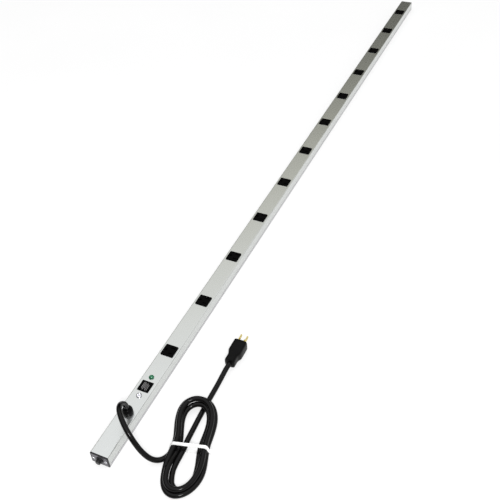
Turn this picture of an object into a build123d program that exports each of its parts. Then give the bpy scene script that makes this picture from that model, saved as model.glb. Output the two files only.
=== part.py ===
from build123d import *
from math import radians, tan
import os

# Rack power strip: a long snap-together channel with a row of outlets in its face, a pilot lamp,
# a cover screw, a reset breaker in one end cap and a supply cord tied in a hank beside it.
# Millimetres. The strip lies on its back along Y: the back is at z = 0, the face looks up along +Z,
# and the cord end is at -Y. The origin is at the bottom centre of the strip with its end fittings.

# Strip
STRIP_LENGTH = 1828.8
STRIP_WIDTH = 34.2
STRIP_HEIGHT = 24.7
BUTTON_STANDS_OUT = 7.0
CAP_SCREW_HEAD = 2.2
CAP_PLATE = 2.0
NEAR_END = (BUTTON_STANDS_OUT - STRIP_LENGTH - CAP_SCREW_HEAD + 1.2) / 2
FAR_END = NEAR_END + STRIP_LENGTH
HALF_WIDTH = STRIP_WIDTH / 2

# Channel and cover walls
WALL = 1.3
EDGE_RADIUS = 1.6
LIP_TOP = 4.9
SEAM_GAP = 0.5
INNER_WALL_OUTSIDE = HALF_WIDTH - WALL - 0.15
INNER_WALL_INSIDE = INNER_WALL_OUTSIDE - 1.2
INNER_WALL_TOP = 12.0
BEAD_LOW, BEAD_HIGH, BEAD_REACH = 7.0, 8.0, 0.45
UNDER_COVER = STRIP_HEIGHT - WALL

# Outlets
OUTLET_COUNT = 12
OUTLET_PITCH = 137.16
FIRST_OUTLET = NEAR_END + 237.6
OUTLET_YS = [FIRST_OUTLET + index * OUTLET_PITCH for index in range(OUTLET_COUNT)]
FACE_ACROSS = 25.3
FACE_ALONG = 25.5
FACE_PROUD = 2.0
FACE_CORNER = 2.0
FLANGE_ACROSS = 28.4
FLANGE_ALONG = 34.0
FLANGE_LOW = 21.4
BLADE_X = 5.1
BLADE_SPACING = 12.7
GROUND_OFFSET = 11.9
SLOT_THICK = 2.2
LINE_SLOT = 7.0
NEUTRAL_SLOT = 8.6
GROUND_HOLE_R = 2.6
BACK_ACROSS = 23.2
BACK_ALONG = 29.0
BACK_LOW = 3.6
POCKET_FLOOR = 9.5
GROOVE_TOP = 8.0
GROOVE_WIDE = 3.4

# Conductors along the strip
WIRE_R = 1.4
WIRE_Z = 6.4
LINE_X, NEUTRAL_X, GROUND_X = 8.4, 1.2, -7.0
WIRE_END = OUTLET_YS[-1] + 18.0
LEAF = 0.8
LEAF_LOW, LEAF_HIGH = 10.0, 20.4

# Face fittings, measured along the strip from the near end
CORD_ENTRY_Y = NEAR_END + 91.8
COVER_SCREW_Y = NEAR_END + 128.7
LABEL_Y = NEAR_END + 150.4
LAMP_Y = NEAR_END + 171.7
LABEL_ACROSS, LABEL_ALONG, LABEL_THICK = 22.6, 23.0, 0.4
LAMP_LENS_R, LAMP_STEM_R = 4.9, 3.9
COVER_SCREW_HEAD_R = 5.2
GROUND_SCREW = (-9.0, NEAR_END + 112.0)

# End fittings
END_SCREW_X = 11.4
END_SCREW_Z = 12.0
BRACKET_PLATE = 1.6
BRACKET_Y = CAP_PLATE + 0.2
BREAKER_Z = 12.0
BREAKER_BUSH_R = 4.75
BREAKER_NUT_R = 7.0
BUTTON_R = 3.3
BUTTON_BORE_R = 3.4
BUTTON_HEAD_R = 4.8
BUTTON_HEAD_LONG = 3.4
BUTTON_TRAVEL = 3.5
BREAKER_FRONT = BRACKET_Y + BRACKET_PLATE
BREAKER_LONG = 32.0

# Mounting holes in the back, on the centre line
MOUNT_HOLE_R = 2.6
MOUNT_HOLE_SPACING = 812.8

# Cord, hank and plug
CORD_R = 4.75
RELIEF_TOP = STRIP_HEIGHT + 12.0
HANK_CENTRE = (123.4, -828.4)
HANK_TILT = 14.2
HANK_HALF_LONG, HANK_HALF_WIDE = 95.2, 35.2
HANK_BUNDLE = 19.4
HANK_HIGH = 19.4
HANK_HUMP_HIGH = 28.8
TIE_WIDE, TIE_THICK = 5.8, 1.2
TIE_CENTRE = (126.1, -834.4)
TIE_HALF_SPAN = 35.4
TIE_HIGH = 21.0
PLUG_X, PLUG_Z = 110.4, 12.6
PLUG_REAR, PLUG_FRONT = -650.0, -600.0
BLADE_LONG = 17.5

# The lead rises out of the strain relief, arches over the side of the strip and comes down to the
# floor, where it joins the hank; the tail leaves the hank, runs under its far end and goes to the plug.
LEAD_ROUTE = [
    (0, CORD_ENTRY_Y, RELIEF_TOP - 2.7),
    (0, CORD_ENTRY_Y, 46.0),
    (-0.8, -826.0, 57.5),
    (1.2, -835.5, 65.6),
    (8.0, -846.8, 69.6),
    (19.0, -857.8, 68.6),
    (31.5, -867.6, 63.0),
    (44.0, -874.6, 53.5),
    (56.0, -879.0, 40.0),
    (67.5, -880.0, 24.0),
    (79.0, -877.5, 11.0),
    (90.0, -870.5, 5.4),
    (97.5, -859.0, 4.9),
    (99.2, -846.5, 4.8),
    (97.4, -834.5, 4.8),
]
TAIL_ROUTE = [
    (123.4, -889, 4.8),
    (119.6, -868, 4.8),
    (116.2, -845, 4.8),
    (113.4, -821, 4.8),
    (111.8, -797, 4.8),
    (111.2, -773, 4.8),
    (109.8, -749, 4.8),
    (107.4, -726, 4.8),
    (105.4, -704, 4.8),
    (105, -687, 5.2),
    (106.4, -674.5, 7.4),
    (109, -662.5, 11.4),
    (PLUG_X, PLUG_REAR, PLUG_Z),
]

FROM_BOTTOM = (Align.CENTER, Align.CENTER, Align.MIN)


def block(across, along, low, high, x=0.0, y=0.0):
    """A box standing between two heights, centred on (x, y)."""
    return Pos(x, y, low) * Box(across, along, high - low, align=FROM_BOTTOM)


def post(radius, low, high, x=0.0, y=0.0):
    """An upright cylinder between two heights."""
    return Pos(x, y, low) * Cylinder(radius, high - low, align=FROM_BOTTOM)


def rod(radius, start, finish, x, z):
    """A cylinder along Y between two places."""
    flat = Plane(origin=(x, start, z), x_dir=(1, 0, 0), z_dir=(0, 1, 0))
    return extrude(flat * Circle(radius), finish - start)


def corner_radii(route):
    """The largest arc that each corner of a route allows."""
    points = [Vector(*point) for point in route]
    radii = []
    for before, corner, after in zip(points, points[1:], points[2:]):
        run_in = corner - before
        run_out = after - corner
        half_turn = radians(run_in.get_angle(run_out)) / 2
        radii.append(0.45 * min(run_in.length, run_out.length) / tan(half_turn))
    return radii


def routed_tube(route, radius):
    """A round tube along straight runs joined by tangent arcs."""
    path = FilletPolyline(*route, radius=corner_radii(route))
    section = Plane(origin=path @ 0, z_dir=path % 0) * Circle(radius)
    return sweep(section, path=path)


def checked_cord(name, route):
    """A cord tube, with its radii, length and volume printed."""
    radii = corner_radii(route)
    path = FilletPolyline(*route, radius=radii)
    tube = routed_tube(route, CORD_R)
    expected = path.length * 3.14159 * CORD_R**2
    print(name, "radii", [round(radius, 1) for radius in radii])
    print(name, "length", round(path.length, 1), "volume ratio", round(tube.volume / expected, 4))
    return tube


def cross_recess(head_top, width, depth, x, y):
    """The cross-shaped driver recess in the top of a screw head."""
    bar = block(width, width / 4, head_top - depth, head_top + 0.1, x, y)
    return bar + block(width / 4, width, head_top - depth, head_top + 0.1, x, y)


def channel_length():
    """The channel and cover run between the two end caps."""
    return STRIP_LENGTH - 2 * CAP_PLATE


def along_channel(profile):
    """Extrude an X-Z profile between the end caps."""
    start = Plane(origin=(0, NEAR_END + CAP_PLATE, 0), x_dir=(1, 0, 0), z_dir=(0, -1, 0))
    return extrude(start * profile, -channel_length())


def mirrored_outline(half):
    """A closed X-Z outline from its right-hand half, listed from the centre line outwards."""
    left = [(-x, z) for x, z in reversed(half) if x > 0]
    return make_face(Polyline(*half, *left, close=True))


def base_channel():
    outline = mirrored_outline([
        (0, 0),
        (HALF_WIDTH, 0),
        (HALF_WIDTH, LIP_TOP),
        (INNER_WALL_OUTSIDE, LIP_TOP),
        (INNER_WALL_OUTSIDE, BEAD_LOW - 0.2),
        (INNER_WALL_OUTSIDE - 0.6, BEAD_LOW - 0.2),
        (INNER_WALL_OUTSIDE - 0.6, BEAD_HIGH + 0.2),
        (INNER_WALL_OUTSIDE, BEAD_HIGH + 0.2),
        (INNER_WALL_OUTSIDE, INNER_WALL_TOP),
        (INNER_WALL_INSIDE, INNER_WALL_TOP),
        (INNER_WALL_INSIDE, WALL),
        (0, WALL),
    ])
    channel = along_channel(outline)
    for index in (-1, 0, 1):
        channel -= post(MOUNT_HOLE_R, -1, WALL + 1, 0, index * MOUNT_HOLE_SPACING)
    channel -= post(2.0, -1, WALL + 1, 0, COVER_SCREW_Y)
    channel -= post(1.8, -1, WALL + 1, *GROUND_SCREW)
    for x, y in rivet_places():
        channel -= post(1.6, -1, WALL + 1, x, y)
    return channel


def cover():
    outer = Pos(0, (STRIP_HEIGHT + LIP_TOP + SEAM_GAP) / 2) * Rectangle(
        STRIP_WIDTH, STRIP_HEIGHT - LIP_TOP - SEAM_GAP
    )
    outer = fillet(outer.vertices().group_by(Axis.Y)[-1], EDGE_RADIUS)
    inner_half = HALF_WIDTH - WALL
    hollow = mirrored_outline([
        (0, LIP_TOP - 1),
        (inner_half, LIP_TOP - 1),
        (inner_half, BEAD_LOW),
        (inner_half - BEAD_REACH, BEAD_LOW),
        (inner_half - BEAD_REACH, BEAD_HIGH),
        (inner_half, BEAD_HIGH),
        (inner_half, UNDER_COVER),
        (0, UNDER_COVER),
    ])
    shell = along_channel(outer - hollow)
    window = RectangleRounded(FACE_ACROSS + 0.3, FACE_ALONG + 0.3, FACE_CORNER)
    for y in OUTLET_YS:
        shell -= extrude(Plane.XY.offset(UNDER_COVER - 1) * Pos(0, y) * window, WALL + 2)
    shell -= post(LAMP_STEM_R + 0.1, UNDER_COVER - 1, STRIP_HEIGHT + 1, 0, LAMP_Y)
    shell -= post(2.3, UNDER_COVER - 1, STRIP_HEIGHT + 1, 0, COVER_SCREW_Y)
    shell -= post(8.1, UNDER_COVER - 1, STRIP_HEIGHT + 1, 0, CORD_ENTRY_Y)
    return shell


def cap_outline():
    outline = Pos(0, STRIP_HEIGHT / 2) * Rectangle(STRIP_WIDTH, STRIP_HEIGHT)
    return fillet(outline.vertices().group_by(Axis.Y)[-1], EDGE_RADIUS)


def end_cap(with_breaker):
    """A cap at the near end: a rimmed plate with a locating rib under the cover."""
    front = Plane(origin=(0, NEAR_END, 0), x_dir=(1, 0, 0), z_dir=(0, -1, 0))
    plate = extrude(front * cap_outline(), -CAP_PLATE)
    recess = Pos(0, STRIP_HEIGHT / 2) * RectangleRounded(STRIP_WIDTH - 3.6, STRIP_HEIGHT - 3.6, 1.0)
    plate -= extrude(front * recess, -1.2)
    plate += block(20, 6, 21.8, UNDER_COVER - 0.1, 0, NEAR_END + 4)
    for x in (-END_SCREW_X, END_SCREW_X):
        plate -= rod(1.9, NEAR_END - 1, NEAR_END + 4, x, END_SCREW_Z)
    if with_breaker:
        plate -= rod(BREAKER_BUSH_R + 0.1, NEAR_END - 1, NEAR_END + 4, 0, BREAKER_Z)
    return plate


def to_far_end(piece):
    """The same piece turned round to the far end of the strip."""
    turned = Pos(0, -(NEAR_END + FAR_END) / 2, 0) * piece
    return Pos(0, (NEAR_END + FAR_END) / 2, 0) * Rot(0, 0, 180) * turned


def end_bracket(with_breaker):
    """A folded bracket on the channel floor that the end cap's screws go into."""
    plate_y = NEAR_END + BRACKET_Y
    foot_long = 14.0
    bracket = block(28.2, BRACKET_PLATE, WALL, 21.4, 0, plate_y + BRACKET_PLATE / 2)
    bracket += block(28.2, foot_long, WALL, WALL + BRACKET_PLATE, 0, plate_y + foot_long / 2)
    for x in (-END_SCREW_X, END_SCREW_X):
        bracket += rod(2.6, plate_y, plate_y + 5, x, END_SCREW_Z)
        bracket -= rod(1.75, plate_y - 1, plate_y + 6, x, END_SCREW_Z)
        bracket -= post(1.6, 0, WALL + 3, x, plate_y + 9)
    if with_breaker:
        bracket -= rod(BREAKER_BUSH_R + 0.1, plate_y - 1, plate_y + 3, 0, BREAKER_Z)
        bracket -= block(15.4, 13, WALL + 1, WALL + 3, 0, plate_y + BRACKET_PLATE + 6.6)
    return bracket


def rivet_places():
    """Where the brackets' rivets go through the channel floor."""
    near_y = NEAR_END + BRACKET_Y + 9
    far_y = FAR_END - BRACKET_Y - 9
    return [(x, y) for y in (near_y, far_y) for x in (-END_SCREW_X, END_SCREW_X)]


def bracket_rivets():
    foot_top = WALL + BRACKET_PLATE
    rivets = []
    for x, y in rivet_places():
        rivet = post(1.55, 0, foot_top + 0.5, x, y) + post(2.7, foot_top, foot_top + 1.0, x, y)
        rivets.append(rivet)
    return Compound(children=rivets)


def end_cap_screw(x):
    """One pan-head screw at the near end, driven along +Y."""
    seat = NEAR_END + 1.2
    head_plane = Plane(origin=(x, seat, END_SCREW_Z), x_dir=(1, 0, 0), z_dir=(0, -1, 0))
    head = extrude(head_plane * Circle(3.0), CAP_SCREW_HEAD)
    head = fillet(head.edges().group_by(Axis.Y)[0], 0.9)
    recess = extrude(head_plane.offset(1.2) * (Rectangle(3.0, 0.8) + Rectangle(0.8, 3.0)), 2)
    return head - recess + rod(1.7, seat - 0.1, seat + 8, x, END_SCREW_Z)


def end_cap_screws():
    near = [end_cap_screw(x) for x in (-END_SCREW_X, END_SCREW_X)]
    far = [to_far_end(screw) for screw in near]
    return Compound(children=near + far)


def receptacle_face(y):
    """An outlet's face block with two blade slots and a ground hole, flanged under the cover."""
    top = STRIP_HEIGHT + FACE_PROUD
    face = extrude(Plane.XY.offset(FLANGE_LOW) * RectangleRounded(FACE_ACROSS, FACE_ALONG, FACE_CORNER),
                   top - FLANGE_LOW)
    face = chamfer(face.edges().group_by(Axis.Z)[-1], 0.6)
    face += block(FLANGE_ACROSS, FLANGE_ALONG, FLANGE_LOW, UNDER_COVER - 0.1)
    half = BLADE_SPACING / 2
    face -= block(LINE_SLOT, SLOT_THICK, FLANGE_LOW - 1, top + 1, BLADE_X, -half)
    face -= block(NEUTRAL_SLOT, SLOT_THICK, FLANGE_LOW - 1, top + 1, BLADE_X, half)
    face -= post(GROUND_HOLE_R, FLANGE_LOW - 1, top + 1, BLADE_X - GROUND_OFFSET, 0)
    return Pos(0, y, 0) * face


def receptacle_back(y):
    """The insulating body under an outlet face, with contact pockets above and wire grooves below."""
    body = block(BACK_ACROSS, BACK_ALONG, BACK_LOW, FLANGE_LOW - 0.1)
    half = BLADE_SPACING / 2
    for pocket_x, pocket_y, across, along in (
        (BLADE_X, -half, 9.4, 6.0),
        (BLADE_X, half, 9.4, 6.0),
        (BLADE_X - GROUND_OFFSET, 0, 7.0, 9.0),
    ):
        body -= block(across, along, POCKET_FLOOR, FLANGE_LOW + 1, pocket_x, pocket_y)
    for foot_x, foot_y in ((LINE_X, -half), (NEUTRAL_X + 0.4, half), (GROUND_X, 0)):
        body -= block(2.2, 3.2, GROOVE_TOP - 1, POCKET_FLOOR + 1, foot_x, foot_y)
    for wire_x in (LINE_X, NEUTRAL_X, GROUND_X):
        body -= block(GROOVE_WIDE, BACK_ALONG + 2, BACK_LOW - 1, GROOVE_TOP, wire_x)
    return Pos(0, y, 0) * body


def spring_contact(x, y, across, gap, foot_x):
    """Two brass leaves joined at the bottom, with a foot on the wire below."""
    offset = gap / 2 + LEAF / 2
    contact = block(across, LEAF, LEAF_LOW, LEAF_HIGH, x, y - offset)
    contact += block(across, LEAF, LEAF_LOW, LEAF_HIGH, x, y + offset)
    contact += block(across, gap + 2 * LEAF, LEAF_LOW, LEAF_LOW + LEAF, x, y)
    contact += block(1.6, 2.6, WIRE_Z + WIRE_R, LEAF_LOW + LEAF, foot_x, y)
    return contact


def contacts(x, side, across, gap, foot_x):
    """One contact in each outlet, on the given side of its middle."""
    pieces = [spring_contact(x, y + side * BLADE_SPACING / 2, across, gap, foot_x) for y in OUTLET_YS]
    return Compound(children=pieces)


def line_wires():
    terminal = NEAR_END + BREAKER_FRONT + BREAKER_LONG + 8.4
    supply = [
        (-2.8, CORD_ENTRY_Y, 12.4),
        (-3.2, CORD_ENTRY_Y - 3, 9.4),
        (-4.6, CORD_ENTRY_Y - 14, 8.0),
        (-4.9, CORD_ENTRY_Y - 32, 10.4),
        (-4.6, terminal, BREAKER_Z),
    ]
    run = [
        (4.6, terminal, BREAKER_Z),
        (6.6, terminal + 12, 10.4),
        (10.6, terminal + 34, 6.6),
        (10.9, COVER_SCREW_Y + 12, WIRE_Z),
        (LINE_X, LAMP_Y - 6, WIRE_Z),
        (LINE_X, WIRE_END, WIRE_Z),
    ]
    return Compound(children=[routed_tube(supply, WIRE_R), routed_tube(run, WIRE_R)])


def neutral_wire():
    run = [
        (2.6, CORD_ENTRY_Y + 1.2, 12.4),
        (3.2, CORD_ENTRY_Y + 4.6, 9.0),
        (6.8, CORD_ENTRY_Y + 20, 6.6),
        (7.2, COVER_SCREW_Y + 12, WIRE_Z),
        (NEUTRAL_X, LAMP_Y - 4, WIRE_Z),
        (NEUTRAL_X, WIRE_END, WIRE_Z),
    ]
    return routed_tube(run, WIRE_R)


def ground_wires():
    ring_x, ring_y = GROUND_SCREW
    supply = [
        (-1.0, CORD_ENTRY_Y + 2.8, 12.2),
        (-2.4, CORD_ENTRY_Y + 4.4, 9.4),
        (-6.6, CORD_ENTRY_Y + 5.8, 5.2),
        (ring_x, ring_y - 11.2, 3.3),
    ]
    run = [
        (ring_x, ring_y + 10.7, 4.1),
        (-8.8, ring_y + 22, 5.0),
        (GROUND_X, ring_y + 48, WIRE_Z),
        (GROUND_X, WIRE_END, WIRE_Z),
    ]
    return Compound(children=[routed_tube(supply, WIRE_R), routed_tube(run, WIRE_R)])


def ring_terminal(low, side):
    """A crimped ring around the ground screw, its barrel towards one end of the strip."""
    ring_x, ring_y = GROUND_SCREW
    ring = post(4.0, low, low + 0.8, ring_x, ring_y) + block(3.2, 3, low, low + 0.8, ring_x, ring_y + side * 4.6)
    ends = sorted((ring_y + side * 5.2, ring_y + side * 10.0))
    ring += rod(2.0, *ends, ring_x, low + 2.0)
    return ring - post(2.05, low - 1, low + 2, ring_x, ring_y)


def ground_ring_terminals():
    return Compound(children=[ring_terminal(WALL, -1), ring_terminal(WALL + 0.8, 1)])


def ground_screw():
    x, y = GROUND_SCREW
    seat = WALL + 1.6
    head = fillet(post(3.6, seat, seat + 2.2, x, y).edges().group_by(Axis.Z)[-1], 0.7)
    return head + post(1.75, 0, seat + 0.1, x, y) - cross_recess(seat + 2.2, 3.4, 1.2, x, y)


def cover_standoff():
    pillar = Pos(0, COVER_SCREW_Y, WALL) * extrude(RegularPolygon(4.0, 6, major_radius=False),
                                                   UNDER_COVER - WALL)
    pillar += post(1.98, 0, WALL + 0.1, 0, COVER_SCREW_Y)
    return pillar - post(2.05, UNDER_COVER - 12, UNDER_COVER + 1, 0, COVER_SCREW_Y)


def cover_screw():
    head_top = STRIP_HEIGHT + 2.9
    head = post(COVER_SCREW_HEAD_R, STRIP_HEIGHT, head_top, 0, COVER_SCREW_Y)
    head = fillet(head.edges().group_by(Axis.Z)[-1], 2.0)
    head -= cross_recess(head_top, 5.6, 1.8, 0, COVER_SCREW_Y)
    return head + post(2.0, UNDER_COVER - 9, STRIP_HEIGHT + 0.1, 0, COVER_SCREW_Y)


def lamp_lens():
    dome_high = 3.4
    rim = post(LAMP_LENS_R, STRIP_HEIGHT, STRIP_HEIGHT + 1.0)
    ball_r = (LAMP_LENS_R**2 + dome_high**2) / (2 * dome_high)
    dome = Pos(0, 0, STRIP_HEIGHT + 1.0 + dome_high - ball_r) * Sphere(ball_r)
    dome &= post(LAMP_LENS_R, STRIP_HEIGHT + 0.9, STRIP_HEIGHT + 6)
    lens = rim + dome + post(LAMP_STEM_R, 17.0, STRIP_HEIGHT + 0.1)
    return Pos(0, LAMP_Y, 0) * (lens - post(2.8, 16, STRIP_HEIGHT + 1.2))


def lamp_holder():
    holder = post(5.6, 12.0, UNDER_COVER, 0, LAMP_Y)
    holder -= post(LAMP_STEM_R + 0.1, 16.4, UNDER_COVER + 1, 0, LAMP_Y)
    return holder


def lamp_leads():
    to_line = [(1.8, LAMP_Y, 11.7), (3.0, LAMP_Y + 1.4, 9.9), (7.0, LAMP_Y + 5, 8.6), (LINE_X, LAMP_Y + 8, 8.3)]
    to_neutral = [(-1.8, LAMP_Y, 11.7), (-1.6, LAMP_Y + 2, 9.8), (0, LAMP_Y + 6, 8.6), (NEUTRAL_X, LAMP_Y + 10, 8.3)]
    return Compound(children=[routed_tube(to_line, 0.5), routed_tube(to_neutral, 0.5)])


def label_plate():
    outline = Pos(0, LABEL_Y) * RectangleRounded(LABEL_ACROSS, LABEL_ALONG, 1.2)
    return extrude(Plane.XY.offset(STRIP_HEIGHT) * outline, LABEL_THICK)


def breaker_body():
    front = NEAR_END + BREAKER_FRONT
    body = block(15.0, BREAKER_LONG, 4.2, 19.8, 0, front + BREAKER_LONG / 2)
    body = fillet(body.edges().filter_by(Axis.Y), 0.8)
    body += rod(BREAKER_BUSH_R, NEAR_END - 3.4, front + 0.1, 0, BREAKER_Z)
    return body - rod(BUTTON_BORE_R, NEAR_END - 4, front + 12, 0, BREAKER_Z)


def breaker_nut():
    front = NEAR_END + 1.2
    nut = rod(BREAKER_NUT_R, front - 3.2, front, 0, BREAKER_Z)
    nut = fillet(nut.edges().group_by(Axis.Y)[0], 0.7)
    for index in range(18):
        nut -= Pos(0, 0, BREAKER_Z) * Rot(0, index * 20, 0) * Pos(BREAKER_NUT_R + 0.25, front - 1.6, 0) * Box(
            0.9, 4, 0.7
        )
    return nut - rod(BREAKER_BUSH_R + 0.02, front - 4, front + 1, 0, BREAKER_Z)


def breaker_terminals():
    rear = NEAR_END + BREAKER_FRONT + BREAKER_LONG
    tabs = [block(0.8, 8.0, BREAKER_Z - 3.15, BREAKER_Z + 3.15, x, rear + 4.0) for x in (-4.6, 4.6)]
    return Compound(children=tabs)


def reset_button():
    tip = NEAR_END - BUTTON_STANDS_OUT
    head = rod(BUTTON_HEAD_R, tip, tip + BUTTON_HEAD_LONG, 0, BREAKER_Z)
    head = fillet(head.edges().group_by(Axis.Y)[0], 1.2)
    return head + rod(BUTTON_R, tip + 1, NEAR_END + BREAKER_FRONT + 8, 0, BREAKER_Z)


def strain_relief():
    """A flanged boot that grips the cord, snapped into the cover."""
    outline = Polyline(
        (CORD_R + 0.1, 15.0),
        (6.6, 15.0),
        (8.6, 20.5),
        (8.6, UNDER_COVER),
        (8.0, UNDER_COVER),
        (8.0, STRIP_HEIGHT),
        (9.5, STRIP_HEIGHT),
        (9.5, STRIP_HEIGHT + 5.5),
        (8.8, STRIP_HEIGHT + 8.5),
        (7.4, STRIP_HEIGHT + 11.0),
        (6.4, RELIEF_TOP),
        (CORD_R + 0.1, RELIEF_TOP),
        close=True,
    )
    boot = revolve(Plane.XZ * make_face(outline), Axis.Z)
    return Pos(0, CORD_ENTRY_Y, 0) * boot


def cord_jacket_end():
    """The cord's jacket inside the boot and the housing, down to where its cores fan out."""
    return post(CORD_R, 13.6, RELIEF_TOP - 2.7, 0, CORD_ENTRY_Y)


def hank_ring(high):
    """The hank's elongated ring, standing on the floor, in its own frame."""
    outer = SlotOverall(2 * HANK_HALF_LONG, 2 * HANK_HALF_WIDE, rotation=90)
    inner = SlotOverall(2 * (HANK_HALF_LONG - HANK_BUNDLE), 2 * (HANK_HALF_WIDE - HANK_BUNDLE), rotation=90)
    return extrude(outer - inner, high)


def cord_coil():
    """The hank's outer shape: raised at its far end, where it crosses over the tail."""
    ring = hank_ring(HANK_HIGH)
    ring = fillet(ring.edges().group_by(Axis.Z)[-1], 4.0)
    hump = hank_ring(HANK_HUMP_HIGH) & block(90, 34, 0, HANK_HUMP_HIGH, 0, HANK_HALF_LONG - 15)
    placed = Pos(*HANK_CENTRE, 0) * Rot(0, 0, HANK_TILT) * (ring + hump)
    tunnel = block(13.0, 50.0, -1, 10.4, 109.4, -748)
    return placed - tunnel


def cable_tie():
    """A flat band round both sides of the hank, with its locking head at one end."""
    middle = TIE_HIGH / 2
    outer = Pos(0, middle) * RectangleRounded(2 * TIE_HALF_SPAN, TIE_HIGH, 8.0)
    inner = Pos(0, middle) * RectangleRounded(2 * (TIE_HALF_SPAN - TIE_THICK), TIE_HIGH - 2 * TIE_THICK, 6.7)
    across = Plane(origin=(0, TIE_WIDE / 2, 0), x_dir=(1, 0, 0), z_dir=(0, -1, 0))
    band = extrude(across * (outer - inner), TIE_WIDE)
    head = block(5.0, 8.0, 4.0, 11.0, TIE_HALF_SPAN + 1.4, 0)
    head = fillet(head.edges().filter_by(Axis.Z), 1.0)
    return Pos(*TIE_CENTRE, 0) * Rot(0, 0, HANK_TILT) * (band + head)


def plug_section(across, high, y, corner):
    """One cross-section of the plug's moulding."""
    flat = Plane(origin=(PLUG_X, y, PLUG_Z), x_dir=(1, 0, 0), z_dir=(0, 1, 0))
    return flat * RectangleRounded(across, high, corner)


def plug_body():
    """A moulded plug: a full front, a waisted grip and a flared collar where the cord enters."""
    front = loft([
        plug_section(26.0, 25.0, PLUG_FRONT, 5.0),
        plug_section(26.4, 25.2, PLUG_FRONT - 26, 6.0),
    ])
    grip = loft([
        plug_section(26.4, 25.2, PLUG_FRONT - 26, 6.0),
        plug_section(16.4, 16.4, PLUG_FRONT - 40, 6.0),
    ])
    collar = loft([
        plug_section(16.4, 16.4, PLUG_FRONT - 40, 6.0),
        plug_section(21.0, 20.0, PLUG_REAR, 7.0),
    ])
    body = front + grip + collar
    half = BLADE_SPACING / 2
    for x in (PLUG_X - half, PLUG_X + half):
        body -= block(1.6, 12, PLUG_Z + 0.7, PLUG_Z + 7.3, x, PLUG_FRONT)
    return body - rod(2.45, PLUG_FRONT - 6, PLUG_FRONT + 1, PLUG_X, PLUG_Z + 4 - GROUND_OFFSET)


def plug_blades():
    half = BLADE_SPACING / 2
    blades = []
    for x in (PLUG_X - half, PLUG_X + half):
        middle = PLUG_FRONT + (BLADE_LONG - 6) / 2
        blade = block(1.5, BLADE_LONG + 6, PLUG_Z + 0.8, PLUG_Z + 7.2, x, middle)
        blade = chamfer(blade.edges().filter_by(Axis.X).group_by(Axis.Y)[-1], 1.4)
        blades.append(blade)
    return Compound(children=blades)


def plug_ground_pin():
    z = PLUG_Z + 4 - GROUND_OFFSET
    pin = rod(2.38, PLUG_FRONT - 6, PLUG_FRONT + BLADE_LONG, PLUG_X, z)
    return fillet(pin.edges().group_by(Axis.Y)[-1], 2.0)


def all_parts():
    """Every sub-part by the name of its node."""
    parts = {
        "base_channel": base_channel(),
        "cover": cover(),
        "end_cap_near": end_cap(with_breaker=True),
        "end_cap_far": to_far_end(end_cap(with_breaker=False)),
        "end_cap_screws": end_cap_screws(),
        "end_bracket_near": end_bracket(with_breaker=True),
        "end_bracket_far": to_far_end(end_bracket(with_breaker=False)),
        "bracket_rivets": bracket_rivets(),
        "line_contacts": contacts(BLADE_X, -1, 6.4, 1.7, LINE_X - 0.2),
        "neutral_contacts": contacts(BLADE_X, 1, 8.2, 1.7, NEUTRAL_X + 0.7),
        "ground_contacts": contacts(BLADE_X - GROUND_OFFSET, 0, 5.0, 4.9, GROUND_X),
        "line_wires": line_wires(),
        "neutral_wire": neutral_wire(),
        "ground_wires": ground_wires(),
        "ground_ring_terminals": ground_ring_terminals(),
        "ground_screw": ground_screw(),
        "cover_standoff": cover_standoff(),
        "cover_screw": cover_screw(),
        "lamp_lens": lamp_lens(),
        "lamp_holder": lamp_holder(),
        "lamp_leads": lamp_leads(),
        "label_plate": label_plate(),
        "breaker_body": breaker_body(),
        "breaker_nut": breaker_nut(),
        "breaker_terminals": breaker_terminals(),
        "reset_button": reset_button(),
        "strain_relief": strain_relief(),
        "cord_jacket_end": cord_jacket_end(),
        "cord_lead": checked_cord("lead", LEAD_ROUTE),
        "cord_coil": cord_coil(),
        "cord_tail": checked_cord("tail", TAIL_ROUTE),
        "cable_tie": cable_tie(),
        "plug_body": plug_body(),
        "plug_blades": plug_blades(),
        "plug_ground_pin": plug_ground_pin(),
    }
    for number, y in enumerate(OUTLET_YS, start=1):
        parts[f"receptacle_face_{number:02d}"] = receptacle_face(y)
        parts[f"receptacle_back_{number:02d}"] = receptacle_back(y)
    return parts


os.makedirs("parts", exist_ok=True)
for node, shape in all_parts().items():
    export_step(shape, f"parts/{node}.step")
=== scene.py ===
import math

import bmesh
import bpy
from mathutils import Matrix, Vector


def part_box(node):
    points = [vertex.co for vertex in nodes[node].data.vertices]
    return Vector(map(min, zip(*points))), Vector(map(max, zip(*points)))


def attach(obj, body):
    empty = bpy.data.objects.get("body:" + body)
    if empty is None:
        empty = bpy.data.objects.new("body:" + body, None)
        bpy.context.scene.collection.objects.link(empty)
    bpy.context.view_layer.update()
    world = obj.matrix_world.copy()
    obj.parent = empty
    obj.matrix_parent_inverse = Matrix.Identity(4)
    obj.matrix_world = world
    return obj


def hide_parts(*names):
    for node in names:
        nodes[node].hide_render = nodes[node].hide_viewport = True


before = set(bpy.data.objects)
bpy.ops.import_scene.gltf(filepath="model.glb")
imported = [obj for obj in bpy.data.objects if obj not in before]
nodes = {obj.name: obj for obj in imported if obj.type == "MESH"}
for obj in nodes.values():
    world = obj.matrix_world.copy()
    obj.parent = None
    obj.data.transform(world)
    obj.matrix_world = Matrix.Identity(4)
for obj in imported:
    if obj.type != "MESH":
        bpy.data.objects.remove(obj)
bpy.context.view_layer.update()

# Lengths below are in millimetres unless a name ends in _M. The frame is in metres.
MM = 0.001


def metres(point):
    return Vector(point) * MM


# ---------------------------------------------------------------- camera

CAMERA_AT_M = (0.5509, -1.3854, 1.0574)
CAMERA_RIGHT = (0.9081, 0.4151, -0.0550)
CAMERA_UP = (-0.2417, 0.6269, 0.7407)
LENS = 52.78
SENSOR = 36
CLIP_NEAR_M = 0.02
CLIP_FAR_M = 60


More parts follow.
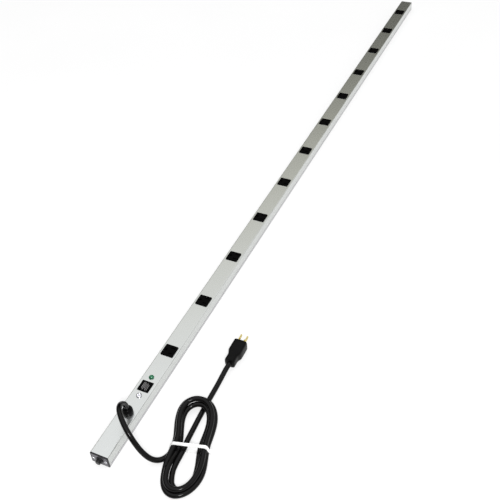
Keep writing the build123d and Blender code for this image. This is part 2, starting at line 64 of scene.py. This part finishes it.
def make_camera():
    """The camera, from its place, its right-hand direction and its upward direction."""
    data = bpy.data.cameras.new("camera")
    data.sensor_width = SENSOR
    data.lens = LENS
    data.clip_start = CLIP_NEAR_M
    data.clip_end = CLIP_FAR_M
    right = Vector(CAMERA_RIGHT).normalized()
    back = right.cross(Vector(CAMERA_UP)).normalized()
    up = back.cross(right)
    camera = bpy.data.objects.new("camera", data)
    turn = Matrix((right, up, back)).transposed().to_4x4()
    camera.matrix_world = Matrix.Translation(CAMERA_AT_M) @ turn
    bpy.context.scene.collection.objects.link(camera)
    bpy.context.scene.camera = camera


make_camera()


# ---------------------------------------------------------------- materials

# Noise lies mostly between these values, so they are taken as its lowest and highest.
NOISE_LOW = 0.3
NOISE_HIGH = 0.7


def shader(name, color, rough, metallic=0.0):
    """A new material with its Principled shader set to one colour, roughness and metalness."""
    made = bpy.data.materials.new(name)
    made.use_nodes = True
    tree = made.node_tree
    principled = next(node for node in tree.nodes if node.type == "BSDF_PRINCIPLED")
    principled.inputs["Base Color"].default_value = (*color, 1)
    principled.inputs["Roughness"].default_value = rough
    principled.inputs["Metallic"].default_value = metallic
    return made, tree, principled


def noise(tree, scale, detail=3.0, stretch=(1, 1, 1)):
    """Noise over the object's own coordinates, stretched along an axis where stretch is small."""
    coords = tree.nodes.new("ShaderNodeTexCoord")
    mapping = tree.nodes.new("ShaderNodeMapping")
    mapping.inputs["Scale"].default_value = stretch
    texture = tree.nodes.new("ShaderNodeTexNoise")
    texture.inputs["Scale"].default_value = scale
    texture.inputs["Detail"].default_value = detail
    tree.links.new(coords.outputs["Object"], mapping.inputs["Vector"])
    tree.links.new(mapping.outputs["Vector"], texture.inputs["Vector"])
    return texture.outputs["Fac"]


def remap(tree, value, low, high):
    """Noise stretched to run from low to high."""
    ranged = tree.nodes.new("ShaderNodeMapRange")
    ranged.inputs["From Min"].default_value = NOISE_LOW
    ranged.inputs["From Max"].default_value = NOISE_HIGH
    ranged.inputs["To Min"].default_value = low
    ranged.inputs["To Max"].default_value = high
    tree.links.new(value, ranged.inputs["Value"])
    return ranged.outputs["Result"]


def vary_color(tree, principled, value, dark, light):
    """Colour that runs from dark to light with the noise."""
    ramp = tree.nodes.new("ShaderNodeValToRGB")
    ramp.color_ramp.elements[0].position = NOISE_LOW
    ramp.color_ramp.elements[0].color = (*dark, 1)
    ramp.color_ramp.elements[1].position = NOISE_HIGH
    ramp.color_ramp.elements[1].color = (*light, 1)
    tree.links.new(value, ramp.inputs["Fac"])
    tree.links.new(ramp.outputs["Color"], principled.inputs["Base Color"])


def add_bump(tree, principled, value, depth):
    """A relief of that depth, in millimetres, from the noise."""
    bump = tree.nodes.new("ShaderNodeBump")
    bump.inputs["Strength"].default_value = 1.0
    bump.inputs["Distance"].default_value = depth * MM
    tree.links.new(value, bump.inputs["Height"])
    tree.links.new(bump.outputs["Normal"], principled.inputs["Normal"])


def uneven_gloss(tree, principled, value, rough, spread, least):
    """Roughness that varies by spread about its mean, and never falls under the least."""
    ranged = remap(tree, value, max(least, rough - spread / 2), rough + spread / 2)
    tree.links.new(ranged, principled.inputs["Roughness"])


def plastic(name, color, rough, grain=900.0, depth=0.02, spread=0.12, shine=0.3):
    """Moulded plastic: a fine grain, a slightly uneven gloss and a faint mottling."""
    made, tree, principled = shader(name, color, rough)
    principled.inputs["Specular IOR Level"].default_value = shine
    light = tuple(min(1.0, c * 1.2 + 0.001) for c in color)
    dark = tuple(c * 0.8 for c in color)
    vary_color(tree, principled, noise(tree, 55.0, 4.0), dark, light)
    uneven_gloss(tree, principled, noise(tree, 130.0, 3.0), rough, spread, 0.02)
    add_bump(tree, principled, noise(tree, grain, 2.0), depth)
    return made


def metal(name, color, rough, brushed=(1, 1, 1), scale=400.0, depth=0.006, spread=0.1, tint=0.06):
    """Metal with rolling or brushing lines along the axis where brushed is small."""
    made, tree, principled = shader(name, color, rough, metallic=1.0)
    lines = noise(tree, scale, 4.0, brushed)
    light = tuple(min(1.0, c * (1 + tint)) for c in color)
    dark = tuple(c * (1 - tint) for c in color)
    vary_color(tree, principled, noise(tree, 18.0, 5.0), dark, light)
    uneven_gloss(tree, principled, lines, rough, spread, 0.03)
    add_bump(tree, principled, lines, depth)
    return made


# scale and grain are how fine the relief is, depth is how deep it is in millimetres, spread is how far
# the roughness varies, tint is how far the colour varies, and shine is how strongly it reflects.
METALS = {
    "housing": dict(
        color=(0.594, 0.610, 0.594),
        rough=0.27, brushed=(1, 0.03, 1), scale=700.0, depth=0.0003, spread=0.02, tint=0.008,
    ),
    # The base channel's colour is set darker than the cover's to paint the shade and the darker reflection
    # along the bottom of the side.
    "base": dict(
        color=(0.52, 0.512, 0.525),
        rough=0.33, brushed=(1, 0.03, 1), scale=700.0, depth=0.0004, spread=0.03, tint=0.01,
    ),
    "cap_panel": dict(
        color=(0.17, 0.165, 0.18), rough=0.42, brushed=(1, 1, 1), scale=600.0, depth=0.01, spread=0.12,
    ),
    "steel": dict(
        color=(0.42, 0.42, 0.45), rough=0.38, brushed=(1, 1, 0.2), scale=500.0, depth=0.01, spread=0.14,
    ),
    "screw": dict(
        color=(0.62, 0.62, 0.65), rough=0.14, brushed=(1, 1, 1), scale=700.0, depth=0.004, spread=0.08,
    ),
    "brass": dict(
        color=(0.58, 0.47, 0.15),
        rough=0.24, brushed=(1, 0.15, 1), scale=700.0, depth=0.006, spread=0.12, tint=0.08,
    ),
    "tin": dict(color=(0.74, 0.73, 0.70), rough=0.30, brushed=(1, 1, 1), scale=500.0, depth=0.008),
}
PLASTICS = {
    "cap": dict(color=(0.012, 0.011, 0.013), rough=0.45, grain=1400.0, depth=0.03),
    "outlet": dict(
        color=(0.0012, 0.0011, 0.0012), rough=0.36, grain=1500.0, depth=0.03, spread=0.14, shine=0.022,
    ),
    "outlet_back": dict(color=(0.03, 0.028, 0.027), rough=0.55, grain=1200.0, depth=0.03),
    "wire_black": dict(color=(0.02, 0.02, 0.022), rough=0.38, grain=600.0, depth=0.02),
    "wire_white": dict(color=(0.78, 0.77, 0.74), rough=0.40, grain=600.0, depth=0.02),
    "wire_green": dict(color=(0.03, 0.25, 0.07), rough=0.40, grain=600.0, depth=0.02),
    "lamp_holder": dict(color=(0.62, 0.62, 0.60), rough=0.45, grain=900.0, depth=0.02),
    "label": dict(
        color=(0.0010, 0.0010, 0.0012), rough=0.25, grain=2000.0, depth=0.006, spread=0.06, shine=0.025,
    ),
    "label_print": dict(color=(0.24, 0.235, 0.235), rough=0.45, grain=1600.0, depth=0.004, spread=0.08),
    "breaker": dict(color=(0.008, 0.008, 0.009), rough=0.38, grain=1200.0, depth=0.03),
    "button": dict(color=(0.007, 0.007, 0.008), rough=0.28, grain=1000.0, depth=0.02, spread=0.08),
    "relief": dict(
        color=(0.0016, 0.0015, 0.0017), rough=0.3, grain=1100.0, depth=0.01, spread=0.08, shine=0.06,
    ),
    "cord": dict(
        color=(0.0026, 0.0023, 0.0024), rough=0.16, grain=420.0, depth=0.004, spread=0.05, shine=0.15,
    ),
    "tie": dict(color=(0.86, 0.86, 0.85), rough=0.35, grain=900.0, depth=0.02, spread=0.1, shine=0.5),
    "plug": dict(
        color=(0.0018, 0.0017, 0.0018), rough=0.32, grain=1000.0, depth=0.02, spread=0.1, shine=0.08,
    ),
}
MATERIALS = {name: metal(name, **look) for name, look in METALS.items()}
MATERIALS.update({name: plastic(name, **look) for name, look in PLASTICS.items()})


def lamp_material():
    """Clear green moulding: light passes through it and picks up its colour."""
    made, tree, principled = shader("lamp_green", (0.0, 0.16, 0.06), 0.08)
    principled.inputs["Transmission Weight"].default_value = 0.35
    principled.inputs["IOR"].default_value = 1.49
    principled.inputs["Coat Weight"].default_value = 0.6
    principled.inputs["Coat Roughness"].default_value = 0.03
    vary_color(tree, principled, noise(tree, 260.0, 2.0), (0.0, 0.10, 0.035), (0.005, 0.24, 0.10))
    add_bump(tree, principled, noise(tree, 500.0, 1.0), 0.02)
    return made


MATERIALS["lamp"] = lamp_material()

NODE_LOOKS = {
    "base_channel": "base",
    "cover": "housing",
    "end_cap_near": "cap",
    "end_cap_far": "cap",
    "end_cap_screws": "screw",
    "end_bracket_near": "steel",
    "end_bracket_far": "steel",
    "bracket_rivets": "steel",
    "line_contacts": "brass",
    "neutral_contacts": "brass",
    "ground_contacts": "brass",
    "line_wires": "wire_black",
    "neutral_wire": "wire_white",
    "ground_wires": "wire_green",
    "ground_ring_terminals": "tin",
    "ground_screw": "steel",
    "cover_standoff": "steel",
    "cover_screw": "screw",
    "lamp_lens": "lamp",
    "lamp_holder": "lamp_holder",
    "lamp_leads": "wire_white",
    "label_plate": "label",
    "breaker_body": "breaker",
    "breaker_nut": "breaker",
    "breaker_terminals": "tin",
    "reset_button": "button",
    "cord_jacket_end": "cord",
    "strain_relief": "relief",
    "plug_blades": "brass",
    "plug_ground_pin": "brass",
}
OUTLETS = 12
for number in range(1, OUTLETS + 1):
    NODE_LOOKS[f"receptacle_face_{number:02d}"] = "outlet"
    NODE_LOOKS[f"receptacle_back_{number:02d}"] = "outlet_back"


def dress(node, look):
    """Gives a CAD node its material."""
    slots = nodes[node].data.materials
    if len(slots):
        for index in range(len(slots)):
            slots[index] = MATERIALS[look]
    else:
        slots.append(MATERIALS[look])


for node, look in NODE_LOOKS.items():
    dress(node, look)


# ---------------------------------------------------------------- pieces

def piece(name, data, look):
    """A new piece on the housing, with its material."""
    made = bpy.data.objects.new(name, data)
    made.data.materials.append(MATERIALS[look])
    bpy.context.scene.collection.objects.link(made)
    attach(made, "housing")
    return made


def finish_mesh(name, work, smooth_below=35):
    """Turns a bmesh into a mesh with outward normals, smooth except at sharp edges."""
    bmesh.ops.remove_doubles(work, verts=work.verts, dist=1e-7)
    bmesh.ops.recalc_face_normals(work, faces=work.faces)
    mesh = bpy.data.meshes.new(name)
    work.to_mesh(mesh)
    work.free()
    mesh.shade_smooth()
    mesh.set_sharp_from_angle(angle=math.radians(smooth_below))
    return mesh


def skin(work, rings, closed=False):
    """Faces between rings of points, and over both ends unless the rings close on themselves."""
    rows = [[work.verts.new(metres(point)) for point in ring] for ring in rings]
    count = len(rows[0])
    pairs = list(zip(rows, rows[1:]))
    if closed:
        pairs.append((rows[-1], rows[0]))
    for low, high in pairs:
        for index in range(count):
            after = (index + 1) % count
            work.faces.new((low[index], low[after], high[after], high[index]))
    if not closed:
        work.faces.new(rows[0])
        work.faces.new(rows[-1])


# ---------------------------------------------------------------- cord

CORD_DIAMETER = 9.5
CORD_STEPS = 7
# The hank's middle, the direction it runs in, and the direction across it.
HANK_CENTRE = (124.6, -828.6)
HANK_ALONG = (-0.245, 0.969)
HANK_ACROSS = (0.969, 0.246)
# Where the tie is along the hank, how far its band lifts the turns, and how far along that reaches.
TIE_ALONG = -6.0
TIE_RAISES = 1.5
TIE_REACH = 26.0

LEAD = [
    (0, -819.6, 34.0), (0, -819.6, 46), (-0.8, -826, 57.5), (1.2, -835.5, 65.6), (8, -846.8, 69.6),
    (19, -857.8, 68.6), (31.5, -867.6, 63), (44, -874.6, 53.5), (56, -879, 40), (67.5, -880, 24),
    (79, -877.5, 11), (90, -870.5, 5.6), (97.5, -859, 5.4), (99.2, -846.5, 6.0),
]
# The hank's three turns: along it from the tie, across it, and height. Each turn goes up the
# left side, round the far end where it lies over the tail, down the right side and round the
# near end. The first lies outside, the second on top and the third inside.
OUTER_TURN = [
    (1, -28.7, 4.8), (14, -29.4, 4.8), (28, -32, 4.8), (42, -34.8, 5.2), (56, -36, 6.6),
    (69.5, -35, 9.2), (81, -29.5, 11.8), (88.4, -20, 13.6), (91.2, -8, 14.6), (89.6, 5.5, 14.6),
    (82.8, 17.2, 13.2), (71, 25.4, 10.6), (56, 29.6, 7.6), (40, 30, 5.4), (22, 28.6, 4.8),
    (4, 27.2, 4.8), (-12, 28.6, 4.8), (-28, 30.2, 4.8), (-44, 30.6, 4.8), (-57.5, 28, 4.8),
    (-70, 22.4, 4.8), (-80.5, 14.2, 4.8), (-87.6, 4, 4.8), (-90, -7, 4.8), (-87, -17, 4.8),
    (-79, -25, 4.8), (-67, -30, 4.8), (-54, -32, 5), (-42, -32.2, 7.4), (-31, -31, 10.8),
    (-19, -28.4, 13.4), (-6, -25.6, 13.6),
]
TOP_TURN = [
    (6, -24.4, 13.2), (18, -25, 13.2), (31, -28, 13.2), (44, -30.4, 13.6), (57, -31.4, 15),
    (69, -29.4, 17.6), (79, -23.4, 20), (84.8, -13.6, 21.8), (86, -2.5, 22.4), (82.8, 8.4, 22),
    (74.8, 17.4, 19.8), (62.5, 23.2, 16.8), (48, 25.8, 14.6), (34, 26, 14), (18, 25.4, 14),
    (4, 25.2, 14), (-12, 25.8, 14), (-28, 26.6, 13.8), (-44, 25.6, 13.2), (-57, 22, 12.6),
    (-68, 17.2, 12), (-77, 9.8, 11.6), (-82.3, 0.2, 11.4), (-83, -9.6, 11.6), (-78.8, -18.4, 12.2),
    (-70.4, -24, 12.6), (-59, -26.2, 12.9), (-47, -26.6, 12.4), (-36, -25.6, 10.4), (-26, -24, 7.8),
    (-16, -21.8, 5.8), (-6, -20, 4.9),
]
INNER_TURN = [
    (5, -19.5, 4.8), (17, -21.6, 4.8), (30, -24.2, 4.8), (43, -26.6, 5.2), (55, -27.2, 6.8),
    (66.5, -24.6, 9.6), (75, -18, 12), (79.4, -8.8, 14), (79.6, 1, 14.6), (75.4, 9.8, 14),
    (67, 16.4, 11.6), (56, 19.6, 8.6), (44, 20.2, 6), (30, 19.2, 4.8), (14, 17.4, 4.8),
    (0, 16.4, 4.8), (-15, 17.6, 4.8), (-30, 19.4, 4.8), (-45, 20, 4.8), (-57, 19.6, 4.8),
    (-67.5, 17.6, 4.8), (-76.2, 11.8, 4.8), (-80, 2.6, 4.8), (-78.4, -7, 4.8), (-71.2, -14.8, 4.8),
    (-59, -17.6, 4.8), (-47.5, -18.8, 4.8), (-36.5, -17.6, 4.8), (-25.5, -15, 4.8), (-14, -12.2, 4.8),
    (-2, -9.8, 4.8),
]
TAIL = [
    (113.4, -821, 5.8), (111.8, -797, 4.8), (110.4, -773, 4.8), (109.6, -749, 4.8), (109, -726, 4.8),
    (108.8, -704, 4.8), (108.4, -687, 5.2), (108.6, -674.5, 7.4), (109.7, -662.5, 11.4), (110.4, -650, 12.6),
]


def hank_place(along, across, height):
    """A point in the frame, from its place along and across the hank."""
    x = HANK_CENTRE[0] + HANK_ALONG[0] * along + HANK_ACROSS[0] * across
    y = HANK_CENTRE[1] + HANK_ALONG[1] * along + HANK_ACROSS[1] * across
    return x, y, height


def hank_point(along, across, height):
    """A point of the hank in the frame, raised a little where the tie passes under it."""
    lift = TIE_RAISES * max(0.0, 1 - ((along - TIE_ALONG) / TIE_REACH) ** 2)
    return hank_place(along, across, height + lift)


def make_cord():
    """One smooth round cord from the boot, through the hank, to the plug."""
    hank = [hank_point(*point) for point in OUTER_TURN + TOP_TURN + INNER_TURN]
    route = [metres(point) for point in LEAD + hank + TAIL]
    data = bpy.data.curves.new("cord", "CURVE")
    data.dimensions = "3D"
    spline = data.splines.new("NURBS")
    spline.points.add(len(route) - 1)
    for place, point in zip(spline.points, route):
        place.co = (*point, 1)
    spline.order_u = 3
    spline.use_endpoint_u = True
    spline.resolution_u = CORD_STEPS
    data.bevel_depth = CORD_DIAMETER / 2 * MM
    data.bevel_resolution = CORD_STEPS
    data.use_fill_caps = True
    made = piece("cord", data, "cord")
    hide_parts("cord_lead", "cord_coil", "cord_tail")
    return made


cord = make_cord()


# ---------------------------------------------------------------- plug

PLUG_X = 110.4
PLUG_Z = 12.6
# y, half width, half height, corner sharpness (2 is round, larger is squarer); the middle is at PLUG_Z
# throughout
PLUG_SECTIONS = [
    (-650.0, 8.9, 9.8, 3.6), (-649.6, 9.5, 10.4, 3.8), (-648.6, 9.8, 10.7, 4.0),
    (-643.0, 9.7, 10.8, 4.0), (-637.0, 9.7, 10.9, 4.2), (-634.6, 9.9, 11.0, 4.4),
    (-631.6, 10.9, 11.4, 4.6), (-628.2, 12.4, 12.0, 4.8), (-626.2, 13.0, 12.3, 5.0),
    (-618.0, 13.1, 12.4, 5.0), (-608.0, 13.1, 12.4, 5.0), (-601.6, 13.0, 12.4, 5.0),
    (-600.5, 12.7, 12.1, 5.0), (-600.0, 12.1, 11.5, 5.0),
]


def superellipse(half_x, half_z, power, steps=48):
    """Points round an oval whose corners get squarer as the power rises."""
    points = []
    for step in range(steps):
        angle = 2 * math.pi * step / steps
        c, s = math.cos(angle), math.sin(angle)
        x = half_x * math.copysign(abs(c) ** (2 / power), c)
        z = half_z * math.copysign(abs(s) ** (2 / power), s)
        points.append((x, z))
    return points


def make_plug():
    """The moulded plug: a straight collar for the cord, sloping shoulders and a full front."""
    work = bmesh.new()
    rings = []
    for y, half_x, half_z, power in PLUG_SECTIONS:
        rings.append([(PLUG_X + x, y, PLUG_Z + z) for x, z in superellipse(half_x, half_z, power)])
    skin(work, rings)
    made = piece("plug_moulding", finish_mesh("plug_moulding", work), "plug")
    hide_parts("plug_body")
    return made


plug = make_plug()


# ---------------------------------------------------------------- cable tie

TIE_WIDE = 5.8
TIE_THICK = 1.2
TIE_SLACK = 0.12
TIE_EDGE = 0.8
TIE_ROUND = 0.35
TIE_RIM = 0.9
TIE_GROOVE = 0.18
TIE_GROOVE_SLOPE = 0.2
TIE_CORNER_STEPS = 8
# The strands that the band goes round, across the hank and up, counted round the band.
TIE_OVER = [(28.2, 6.35), (25.4, 15.5), (-25.6, 14.9), (-29.3, 7.2)]
TIE_HEAD_AT = (33.4, 8.6)
TIE_HEAD_HALF = 4.2
TIE_HEAD_TALL = 1.35
# The head's section, up from its middle and out from the band, before its height is scaled.
TIE_HEAD = [
    (-2.3, 0.9), (-2.3, 3.6), (-1.7, 4.2), (1.7, 4.2),
    (2.3, 3.6), (2.3, 0.9), (1.7, 0.0), (-1.7, 0.0),
]
TIE_HEAD_MIDDLE = 2.1
TIE_HEAD_SHIFT = 2.2
# How far the head's section is drawn in, and how far from each end.
TIE_HEAD_ENDS = [(0.75, 0.0), (0.95, 0.5), (1.0, 1.0)]


def band_outline(radius):
    """The outline of a taut band round the four outermost strands, seen along the hank."""
    outline = []
    count = len(TIE_OVER)
    for index in range(count):
        before = Vector(TIE_OVER[index - 1])
        here = Vector(TIE_OVER[index])
        after = Vector(TIE_OVER[(index + 1) % count])
        run_in = (here - before).normalized()
        run_out = (after - here).normalized()
        start = math.atan2(-run_in.x, run_in.y)
        turn = (math.atan2(-run_out.x, run_out.y) - start) % (2 * math.pi)
        for step in range(TIE_CORNER_STEPS + 1):
            angle = start + turn * step / TIE_CORNER_STEPS
            outline.append((here.x + radius * math.cos(angle), here.y + radius * math.sin(angle)))
    return outline


def make_tie():
    """A nylon band with rounded edges and a shallow groove along its face, and its locking head."""
    inner = CORD_DIAMETER / 2 + TIE_SLACK
    outer = inner + TIE_THICK
    half = TIE_WIDE / 2
    half_groove = half - TIE_RIM - TIE_GROOVE_SLOPE
    right = [
        (half, inner), (half, inner + TIE_EDGE), (half - TIE_ROUND, outer), (half - TIE_RIM, outer),
        (half_groove, outer - TIE_GROOVE),
    ]
    section = right + [(-along, radius) for along, radius in reversed(right)]
    work = bmesh.new()
    rings = list(zip(*[
        [hank_place(TIE_ALONG + along, across, height) for across, height in band_outline(radius)]
        for along, radius in section
    ]))
    skin(work, rings, closed=True)
    across, height = TIE_HEAD_AT
    near = [(shrink, inset - TIE_HEAD_HALF) for shrink, inset in TIE_HEAD_ENDS]
    far = [(shrink, -along) for shrink, along in reversed(near)]
    head = []
    for shrink, along in near + far:
        head.append([
            hank_place(
                TIE_ALONG + along,
                across + TIE_HEAD_SHIFT + (out - TIE_HEAD_MIDDLE) * shrink,
                height + up * TIE_HEAD_TALL * shrink,
            )
            for up, out in TIE_HEAD
        ])
    skin(work, head)
    made = piece("tie_band", finish_mesh("tie_band", work, 30), "tie")
    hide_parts("cable_tie")
    return made


tie = make_tie()


# ---------------------------------------------------------------- label print

# Each rule's length, and how far it is shifted along the strip.
RULES = [(13, 1.5), (16, 0), (11, 1), (15.5, -0.5), (12, -1.5)]
RULE_PITCH = 2.6
RULE_HALF_WIDE = 0.45
RULE_SUNK = 0.02
RULE_PROUD = 0.04


def make_label_rules():
    """Pale rules on the label, in place of printing."""
    low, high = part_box("label_plate")
    top = high.z / MM
    middle = (low.y + high.y) / 2 / MM
    work = bmesh.new()
    for index, (length, shift) in enumerate(RULES):
        x = (index - (len(RULES) - 1) / 2) * RULE_PITCH
        left = x - RULE_HALF_WIDE
        right = x + RULE_HALF_WIDE
        start = middle + shift - length / 2
        end = middle + shift + length / 2
        skin(work, [
            [(left, start, z), (right, start, z), (right, end, z), (left, end, z)]
            for z in (top - RULE_SUNK, top + RULE_PROUD)
        ])
    return piece("label_rules", finish_mesh("label_rules", work), "label_print")


make_label_rules()


# ---------------------------------------------------------------- end panels

CAP_RIM = 1.9
PANEL_CORNERS = 16
PANEL_STEPS = 64
# How far out of the cap's face each ring of the panel is, and how far it is drawn in.
PANEL_RINGS = [(-0.1, 0), (0.18, 0), (0.26, 0.1)]


def make_cap_panel(name, cap, outward):
    """A thin grey panel on the end cap, inside the cap's black rim."""
    low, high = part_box(cap)
    face = (low.y if outward < 0 else high.y) / MM
    middle_z = (low.z + high.z) / 2 / MM
    half_x = (high.x - low.x) / 2 / MM - CAP_RIM
    half_z = (high.z - low.z) / 2 / MM - CAP_RIM
    work = bmesh.new()
    rings = []
    for out, shrink in PANEL_RINGS:
        outline = superellipse(half_x - shrink, half_z - shrink, PANEL_CORNERS, PANEL_STEPS)
        rings.append([(x, face + outward * out, middle_z + z) for x, z in outline])
    skin(work, rings)
    return piece(name, finish_mesh(name, work), "cap_panel")


make_cap_panel("cap_panel_near", "end_cap_near", -1)
make_cap_panel("cap_panel_far", "end_cap_far", 1)


# ---------------------------------------------------------------- floor, light and sky

FLOOR_REACH_M = 12.0
FLOOR_DROP_M = 0.0004
FLOOR_GREY = 0.36
FLOOR_MOTTLE = 0.005
FLOOR_GLOW = 0.61

KEY_AT_M = (1.15, -2.2, 1.95)
KEY_TOWARDS_M = (0.05, -0.6, 0.0)
KEY_SIZE_M = 0.5
KEY_WATTS = 38


def make_floor():
    """The studio's floor: a plane that shines a little, so that it comes out white."""
    mesh = bpy.data.meshes.new("floor")
    corners = [(x * FLOOR_REACH_M, y * FLOOR_REACH_M, 0) for x, y in ((-1, -1), (1, -1), (1, 1), (-1, 1))]
    mesh.from_pydata(corners, [], [(0, 1, 2, 3)])
    floor = bpy.data.objects.new("floor", mesh)
    floor.location.z = -FLOOR_DROP_M
    made, tree, principled = shader("floor", (FLOOR_GREY,) * 3, 0.9)
    principled.inputs["Emission Color"].default_value = (1, 1, 1, 1)
    principled.inputs["Emission Strength"].default_value = FLOOR_GLOW
    principled.inputs["Specular IOR Level"].default_value = 0.0
    dark = (FLOOR_GREY - FLOOR_MOTTLE,) * 3
    light = (FLOOR_GREY + FLOOR_MOTTLE,) * 3
    vary_color(tree, principled, noise(tree, 3.0, 2.0), dark, light)
    mesh.materials.append(made)
    bpy.context.scene.collection.objects.link(floor)


def make_key_light():
    """A round lamp near the camera, on the object's right."""
    data = bpy.data.lights.new("key", "AREA")
    data.shape = "DISK"
    data.size = KEY_SIZE_M
    data.energy = KEY_WATTS
    light = bpy.data.objects.new("key", data)
    light.location = KEY_AT_M
    aim = Vector(KEY_TOWARDS_M) - Vector(KEY_AT_M)
    light.rotation_euler = aim.to_track_quat("-Z", "Y").to_euler()
    bpy.context.scene.collection.objects.link(light)


# How bright the studio is by height, as it lights and is mirrored in the object: dim near the
# floor, white overhead. The backdrop itself is plain white.
SKY = [
    (0.30, 0.0), (0.38, 0.0), (0.45, 0.03), (0.51, 0.22),
    (0.60, 0.62), (0.70, 0.79), (0.80, 0.98), (1.0, 1.0),
]
SKY_STRENGTH = 1.36
# The studio's right side is at least this bright down to the floor, fully so from the second value.
SKY_SIDE = 0.55
SKY_SIDE_FROM = 0.15
SKY_SIDE_FULL = 0.55
# Low light is warm and light from overhead a little cool: the height where it is neutral, how much
# lower it is fully warm, the coolest it gets, and how much green and blue a full warmth takes.
WARM_BELOW = 0.72
WARM_RANGE = 0.2
COOLEST = -0.15
WARM_GREEN = 0.03
WARM_BLUE = 0.25


def sky_color(height, shade):
    warm = min(1.0, max(COOLEST, (WARM_BELOW - height) / WARM_RANGE))
    return shade, shade * (1 - WARM_GREEN * warm), shade * (1 - WARM_BLUE * warm), 1


def make_sky():
    """The light from all round, and a plain white backdrop for the camera."""
    world = bpy.data.worlds.new("sky")
    world.use_nodes = True
    tree = world.node_tree
    background = next(node for node in tree.nodes if node.type == "BACKGROUND")
    coords = tree.nodes.new("ShaderNodeTexCoord")
    split = tree.nodes.new("ShaderNodeSeparateXYZ")
    ramp = tree.nodes.new("ShaderNodeValToRGB")
    ramp.color_ramp.elements[0].position = SKY[0][0]
    ramp.color_ramp.elements[1].position = SKY[-1][0]
    for place, _ in SKY[1:-1]:
        ramp.color_ramp.elements.new(place)
    for element, (_, shade) in zip(ramp.color_ramp.elements, SKY):
        element.color = sky_color(element.position, shade)
    tree.links.new(coords.outputs["Generated"], split.inputs["Vector"])
    tree.links.new(split.outputs["Z"], ramp.inputs["Fac"])
    side = tree.nodes.new("ShaderNodeMapRange")
    side.inputs["From Min"].default_value = SKY_SIDE_FROM
    side.inputs["From Max"].default_value = SKY_SIDE_FULL
    side.inputs["To Max"].default_value = 1.0
    blend = tree.nodes.new("ShaderNodeMixRGB")
    blend.blend_type = "LIGHTEN"
    blend.inputs["Color2"].default_value = (SKY_SIDE, SKY_SIDE, SKY_SIDE, 1)
    tree.links.new(split.outputs["X"], side.inputs["Value"])
    tree.links.new(side.outputs["Result"], blend.inputs["Fac"])
    tree.links.new(ramp.outputs["Color"], blend.inputs["Color1"])
    tree.links.new(blend.outputs["Color"], background.inputs["Color"])
    background.inputs["Strength"].default_value = SKY_STRENGTH
    backdrop = tree.nodes.new("ShaderNodeBackground")
    rays = tree.nodes.new("ShaderNodeLightPath")
    choice = tree.nodes.new("ShaderNodeMixShader")
    output = next(node for node in tree.nodes if node.type == "OUTPUT_WORLD")
    backdrop.inputs["Color"].default_value = (1, 1, 1, 1)
    tree.links.new(rays.outputs["Is Camera Ray"], choice.inputs[0])
    tree.links.new(background.outputs["Background"], choice.inputs[1])
    tree.links.new(backdrop.outputs["Background"], choice.inputs[2])
    tree.links.new(choice.outputs["Shader"], output.inputs["Surface"])
    bpy.context.scene.world = world


make_floor()
make_sky()
make_key_light()
bpy.context.scene.view_settings.view_transform = "Standard"
